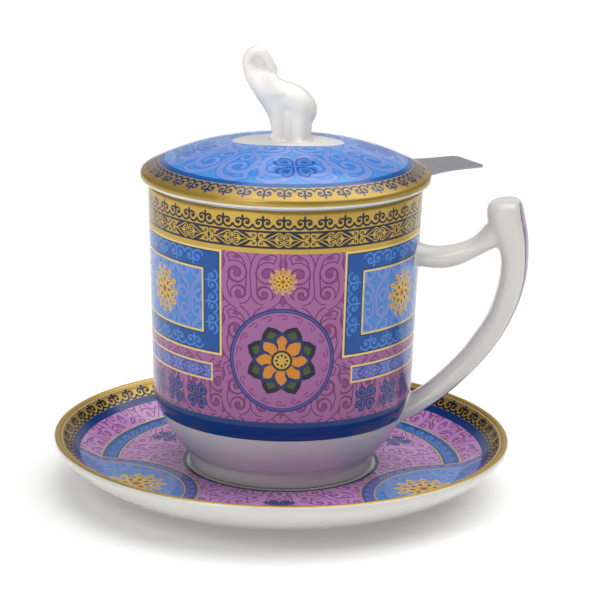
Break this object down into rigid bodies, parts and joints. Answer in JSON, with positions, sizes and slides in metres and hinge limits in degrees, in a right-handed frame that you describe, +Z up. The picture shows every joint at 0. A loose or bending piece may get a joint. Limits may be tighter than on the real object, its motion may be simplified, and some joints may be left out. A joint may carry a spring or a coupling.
{
  "type": "lidded tea mug with infuser and saucer",
  "caption": "Porcelain tea mug with a domed lift-off lid, an elephant finial, a steel basket infuser with a lifting tab, and a saucer.",
  "frame": {"origin": "centre of the saucer's foot ring, on the table", "axes": "+Z up along the axis of mug, infuser, lid and saucer; +X from the axis to the handle"},
  "size_m": [0.1486, 0.1448, 0.1409],
  "materials": {
    "saucer_porcelain": "glazed porcelain with overglaze prints in blue, violet and gold",
    "mug_porcelain": "glazed porcelain with overglaze prints in violet, blue and gold",
    "handle_porcelain": "clear glaze on white porcelain",
    "infuser_steel": "satin sheet steel",
    "lid_porcelain": "glazed porcelain with overglaze prints in sky blue and gold",
    "finial_porcelain": "clear glaze on white porcelain"
  },
  "bodies": {
    "saucer": {"saucer": "saucer_porcelain"},
    "mug": {"mug_body": "mug_porcelain", "mug_handle": "handle_porcelain"},
    "infuser": {"infuser_rim": "infuser_steel", "infuser_wall": "infuser_steel", "infuser_base": "infuser_steel"},
    "lid": {"lid_shell": "lid_porcelain", "lid_ring": "lid_porcelain", "lid_finial": "finial_porcelain"}
  },
  "joints": [
    {"name": "mug_lift", "type": "slide", "parent": "saucer", "child": "mug", "axis": [0, 0, 1], "range_m": [0, 0.05]},
    {"name": "infuser_lift", "type": "slide", "parent": "mug", "child": "infuser", "axis": [0, 0, 1], "range_m": [0, 0.075]},
    {"name": "lid_lift", "type": "slide", "parent": "infuser", "child": "lid", "axis": [0, 0, 1], "range_m": [0, 0.06]}
  ]
}
